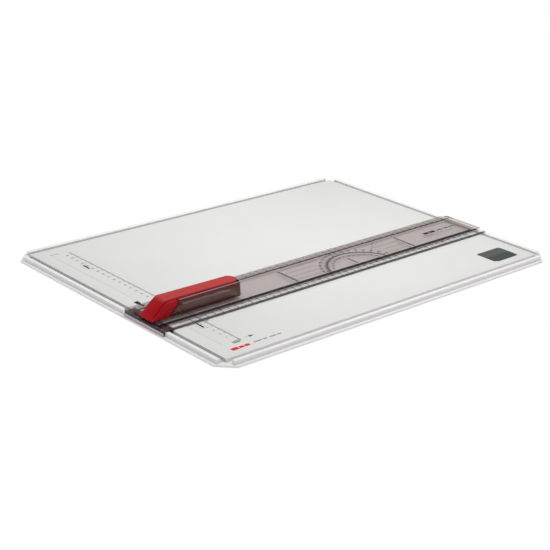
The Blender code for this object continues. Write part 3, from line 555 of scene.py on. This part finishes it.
RAIL_ZERO = -206.8 * mm
RAIL_CENTIMETRES = 42
TICKS = {"centimetre": (3.4 * mm, 1.0 * mm), "half": (2.2 * mm, 0.12 * mm),
         "millimetre": (1.3 * mm, 0.12 * mm)}  # length and width
FRONT_TICKS_IN, REAR_TICKS_IN = 2.0 * mm, 2.2 * mm  # from the rail's edge
FRONT_NUMBERS_IN, REAR_NUMBERS_IN = 8.0 * mm, 9.6 * mm
FRONT_NUMBER_SIZE, REAR_NUMBER_SIZE = 4.6 * mm, 4.2 * mm


def rail_scales():
    """Millimetre scales on both strips, each with its centimetres numbered."""
    fine = Print("rail_millimetre_lines", STRIP_TOP, INK_MID, "rail")
    bold = Print("rail_centimetre_lines", STRIP_TOP, INK_GREY, "rail")
    digits = Print("rail_scale_numbers", STRIP_TOP, INK_GREY, "rail")
    for count in range(10 * RAIL_CENTIMETRES + 1):
        x = RAIL_ZERO + count * mm
        whole, half = count % 10 == 0, count % 5 == 0
        length, width = TICKS["centimetre" if whole else "half" if half else "millimetre"]
        for edge, inward in ((rail_low.y + FRONT_TICKS_IN, 1), (rail_high.y - REAR_TICKS_IN, -1)):
            reach = sorted((edge, edge + inward * length))
            (bold if whole else fine).bar((x - width / 2, x + width / 2), reach)
    for count in range(RAIL_CENTIMETRES + 1):
        x = RAIL_ZERO + count * 10 * mm
        digits.number(count, (x, rail_low.y + FRONT_NUMBERS_IN), FRONT_NUMBER_SIZE)
        digits.number(count, (x, rail_high.y - REAR_NUMBERS_IN), REAR_NUMBER_SIZE)
    finish_prints(fine, bold, digits)


PROTRACTOR = Vector((39.2 * mm, rail_low.y))
PROTRACTOR_RADIUS = 45 * mm
ARC_WIDTH = 3.0 * mm
OUTER_RING = (52.6 * mm, 4.6 * mm)  # radius and size of the numbers
INNER_RING = (38 * mm, 4.0 * mm)


def protractor():
    """A half circle centred on the rail's front edge, with ticks and two rings of numbers."""
    arc = Print("protractor_arc", WEB_TOP, INK_DIM, "rail")
    lines = Print("protractor_lines", WEB_TOP, INK_GREY, "rail")
    digits = Print("protractor_numbers", WEB_TOP, INK_GREY, "rail")
    # The arc starts and stops just behind the web's front side.
    margin = WEB_FRONT + 0.8 * mm - PROTRACTOR.y
    start = math.degrees(math.asin(margin / PROTRACTOR_RADIUS))
    arc.arc(PROTRACTOR, PROTRACTOR_RADIUS, ARC_WIDTH, start, 180 - start, 40)
    for degree in range(0, 181, 2):
        angle = math.radians(degree)
        ray = Vector((math.cos(angle), math.sin(angle)))
        whole = degree % 10 == 0
        reach = 3.2 * mm if whole else 1.6 * mm
        inner = PROTRACTOR + ray * (PROTRACTOR_RADIUS + ARC_WIDTH / 2)
        if inner.y < WEB_FRONT + 1 * mm:
            continue
        outer = PROTRACTOR + ray * (PROTRACTOR_RADIUS + ARC_WIDTH / 2 + reach)
        if outer.y < WEB_REAR - 1 * mm:
            lines.line(inner, outer, 1.0 * mm if whole else 0.3 * mm)
        if not whole:
            continue
        for (radius, size), value in ((OUTER_RING, degree), (INNER_RING, 180 - degree)):
            spot = PROTRACTOR + ray * radius
            if WEB_FRONT + 3 * mm < spot.y < WEB_REAR - 2 * mm:
                digits.number(value, spot, size, degree - 90)
    finish_prints(arc, lines, digits)


GUIDE_ROWS = 4
GUIDE_FIRST, GUIDE_PITCH = 9.3 * mm, 10.05 * mm  # in front of the web's rear side
GUIDE_LEFT, GUIDE_RIGHT = -52.1 * mm, 131.5 * mm
GUIDE_HALF_WIDTH = 0.3 * mm


def rail_guides():
    """Guide lines either side of the protractor, its centre line, a slanting line and the three
    short marks on the web's front side."""
    bold = Print("guide_lines_bold", WEB_TOP, INK_DIM, "rail")
    thin = Print("guide_lines_thin", WEB_TOP, INK_DIM, "rail")
    rows = [WEB_REAR - GUIDE_FIRST - GUIDE_PITCH * i for i in range(GUIDE_ROWS)]
    for x in (GUIDE_LEFT, GUIDE_RIGHT):
        bold.bar((x - 1.5 * mm, x + 1.5 * mm), (rows[-1] - 4 * mm, rows[0]))
    # Where each row stops beside the protractor, from the rear row forward.
    left_ends = (6.7 * mm, -3.1 * mm, -11 * mm, -14.9 * mm)
    right_ends = (74 * mm, 87.5 * mm, 93.6 * mm, 97.2 * mm)
    for y, left_end, right_end in zip(rows, left_ends, right_ends):
        across = (y - GUIDE_HALF_WIDTH, y + GUIDE_HALF_WIDTH)
        thin.bar((GUIDE_LEFT + 2.5 * mm, left_end), across)
        thin.bar((right_end, GUIDE_RIGHT - 2.5 * mm), across)
    centre = PROTRACTOR.x + 0.3 * mm
    bold.bar((centre - 1.3 * mm, centre + 1.3 * mm), (-75 * mm, -58.8 * mm))
    thin.line((102.2 * mm, -35.9 * mm), (80.1 * mm, -56.6 * mm), 0.5 * mm)
    for x in (GUIDE_LEFT, centre, GUIDE_RIGHT):
        bold.bar((x - GUIDE_HALF_WIDTH, x + GUIDE_HALF_WIDTH),
                 (WEB_FRONT + 1 * mm, WEB_FRONT + 2.6 * mm))
    finish_prints(bold, thin)


RAIL_MARK_Y = -55.6 * mm


def rail_plate_mark():
    """Plain bars where a name would be printed."""
    bold = Print("rail_mark_bold", WEB_TOP, INK_BLACK, "rail")
    light = Print("rail_mark_light", WEB_TOP, INK_DIM, "rail")
    for low, high in ((169.6, 178), (179.4, 188.8)):
        bold.line((low * mm, RAIL_MARK_Y), (high * mm, RAIL_MARK_Y), 4.6 * mm)
    for low, high in ((192, 203), (205, 212), (213.5, 222.6)):
        light.line((low * mm, RAIL_MARK_Y), (high * mm, RAIL_MARK_Y), 2.6 * mm)
    finish_prints(bold, light)


MARGIN_TOP = 145 * mm  # Y of the last centimetre on the margin scale
MARGIN_CENTIMETRES = 29
PRESS_X, PRESS_YS = -204.8 * mm, (103.1 * mm, -97.2 * mm)
RING_OUTER, RING_INNER = 3.9 * mm, 3.5 * mm
RING_STRETCH = 5 * mm  # each half of a ring is moved this far along the bar
RING_POINTS = 30


def press_ring(rings, y):
    """A long ring round a press mark, in short pieces. The half degree keeps every point off the
    line where the ring's two halves part."""
    turns = [math.radians(i * 360 / RING_POINTS + 0.5) for i in range(RING_POINTS)]
    outer, inner = [[(PRESS_X + radius * math.cos(a),
                      y + math.copysign(RING_STRETCH, math.sin(a)) + radius * math.sin(a))
                     for a in turns] for radius in (RING_OUTER, RING_INNER)]
    for i in range(RING_POINTS):
        after = (i + 1) % RING_POINTS
        rings.shape([outer[i], outer[after], inner[after], inner[i]])


def margin_scale():
    """Centimetre scale on the clamp bar, with two press marks."""
    top = bar_high.z
    edge = bar_high.x
    scale = Print("margin_scale", top, INK_SOFT, "clamp")
    frame_line = Print("margin_frame", top, INK_PALE, "clamp")
    base_line = Print("margin_base_line", top, INK_MID, "clamp")
    base_line.bar((edge - 2.0 * mm, edge - 0.05 * mm), (bar_low.y, bar_high.y - 3.3 * mm))
    left = bar_low.x + 0.5 * mm
    frame_line.bar((left - 0.15 * mm, left + 0.15 * mm), (bar_low.y + 0.6 * mm, bar_high.y))
    frame_line.bar((left, left + 10.8 * mm), (bar_high.y - 0.5 * mm, bar_high.y))
    press = Print("press_marks", top, INK_BLACK, "clamp")
    rings = Print("press_rings", top, INK_PALE, "clamp")
    for count in range(MARGIN_CENTIMETRES + 1):
        y = MARGIN_TOP - (MARGIN_CENTIMETRES - count) * 10 * mm
        scale.bar((edge - 4.5 * mm, edge - 1.2 * mm), (y - 0.25 * mm, y + 0.25 * mm))
        if count:
            scale.number(count, (edge - 8.2 * mm, y), 3.7 * mm)
    for y in PRESS_YS:
        press.bar((PRESS_X - 1.1 * mm, PRESS_X + 1.1 * mm), (y - 6.1 * mm, y + 6.1 * mm))
        press_ring(rings, y)
    press.bar((edge - 12.5 * mm, edge - 0.3 * mm), (bar_low.y, bar_low.y + 0.6 * mm))
    finish_prints(scale, frame_line, base_line, press, rings)


ARROW_Y = -146.9 * mm
POINTER_X = -220.5 * mm
RED_MARK_Y, GREY_MARK_Y = -161.4 * mm, -160.6 * mm


def board_marks():
    """Alignment arrows beside the clamp bar and plain bars where names would be printed."""
    black = Print("board_arrows", SURFACE, INK_BLACK, "board")
    grey = Print("board_mark_grey", SURFACE, INK_VIOLET, "board")
    red = Print("board_mark_red", SURFACE, INK_RED, "board")
    y = ARROW_Y
    black.shape([(-183 * mm, y - 1.9 * mm), (-176.8 * mm, y), (-183 * mm, y + 1.9 * mm)])
    grey.bar((-188 * mm, -183 * mm), (y - 0.3 * mm, y + 0.3 * mm))
    x = POINTER_X
    black.shape([(x - 2.6 * mm, -9 * mm), (x + 2.6 * mm, -9 * mm), (x + 2.6 * mm, -14 * mm),
                 (x + 1.2 * mm, -18 * mm), (x + 2.0 * mm, -19.4 * mm), (x + 2.0 * mm, -24 * mm),
                 (x - 1.0 * mm, -24 * mm), (x - 2.6 * mm, -14 * mm)])
    for low, high, width in ((-217.5, -209, 5.2), (-208, -202, 4.2), (-201, -194.5, 4.2)):
        red.line((low * mm, RED_MARK_Y), (high * mm, RED_MARK_Y), width * mm)
    for low, high in ((-188.5, -178), (-176.5, -171), (-168, -159), (-157.5, -152.5)):
        grey.line((low * mm, GREY_MARK_Y), (high * mm, GREY_MARK_Y), 2.2 * mm)
    finish_prints(black, grey, red)


# ---------------------------------------------------------------- floor, light, camera

SOFTBOX_SIZE, SOFTBOX_POWER = 0.6, 2.33  # metres and watts
CAMERA_TARGET = Vector((-43.75 * mm, -29.16 * mm, 3.0 * mm))
CAMERA_DISTANCE = 1534.61  # millimetres
CAMERA_LENS, CAMERA_SENSOR = 90.37, 36  # millimetres
CAMERA_AZIMUTH, CAMERA_ELEVATION, CAMERA_ROLL = map(math.radians, (-42.36, 21.71, 2.04))


def make_floor():
    """A white floor that shines evenly by itself, so no shadow shows on it."""
    bm = bmesh.new()
    bmesh.ops.create_grid(bm, x_segments=8, y_segments=8, size=8)
    mesh = bpy.data.meshes.new("floor")
    bm.to_mesh(mesh)
    bm.free()
    floor = bpy.data.objects.new("floor", mesh)
    bpy.context.scene.collection.objects.link(floor)
    look = material("floor_white", Base_Color=(0, 0, 0, 1), Roughness=0.9,
                    Specular_IOR_Level=0, Emission_Color=(1, 1, 1, 1), Emission_Strength=1.0)[0]
    mesh.materials.append(look)


def area_light(name, location, target, size, power):
    """A square light aimed at a point."""
    data = bpy.data.lights.new(name, "AREA")
    data.shape = "SQUARE"
    data.size = size
    data.energy = power
    obj = bpy.data.objects.new(name, data)
    obj.location = location
    aim = Vector(target) - Vector(location)
    obj.rotation_euler = aim.to_track_quat("-Z", "Y").to_euler()
    bpy.context.scene.collection.objects.link(obj)


def make_lights():
    """A pale tent, dimmer towards the horizon, and one soft box straight above the middle."""
    world = bpy.data.worlds.new("studio")
    world.use_nodes = True
    tree = world.node_tree
    direction = node(tree, "ShaderNodeTexCoord").outputs["Generated"]
    height = node(tree, "ShaderNodeSeparateXYZ", {"Vector": direction}).outputs["Z"]
    tone = ramp(tree, height, (0.0, (0.44,) * 3), (0.3, (0.45,) * 3), (0.7, (0.49,) * 3),
                (1.0, (0.60,) * 3))
    tree.links.new(tone, tree.nodes["Background"].inputs["Color"])
    tree.nodes["Background"].inputs["Strength"].default_value = 1.0
    bpy.context.scene.world = world
    area_light("softbox", (0.06, 0.02, 0.5), (0.06, 0.02, 0), SOFTBOX_SIZE, SOFTBOX_POWER)


def make_camera():
    """Looks down on the board's near left corner from 1.5 m, with a slight roll."""
    azimuth, elevation, roll = CAMERA_AZIMUTH, CAMERA_ELEVATION, CAMERA_ROLL
    back = Vector((math.sin(azimuth) * math.cos(elevation),
                   -math.cos(azimuth) * math.cos(elevation), math.sin(elevation)))
    right = Vector((0, 0, 1)).cross(back).normalized()
    up = back.cross(right)
    rolled_right = math.cos(roll) * right + math.sin(roll) * up
    rolled_up = math.cos(roll) * up - math.sin(roll) * right
    data = bpy.data.cameras.new("camera")
    data.sensor_width = CAMERA_SENSOR
    data.lens = CAMERA_LENS
    camera = bpy.data.objects.new("camera", data)
    turn = Matrix((rolled_right, rolled_up, back)).transposed()
    stand = CAMERA_TARGET + back * CAMERA_DISTANCE * mm
    camera.matrix_world = Matrix.Translation(stand) @ turn.to_4x4()
    bpy.context.scene.collection.objects.link(camera)
    bpy.context.scene.camera = camera


finish_cad_pieces()
rail_scales()
protractor()
rail_guides()
rail_plate_mark()
margin_scale()
board_marks()
make_floor()
make_lights()
make_camera()
bpy.context.scene.view_settings.view_transform = "Standard"
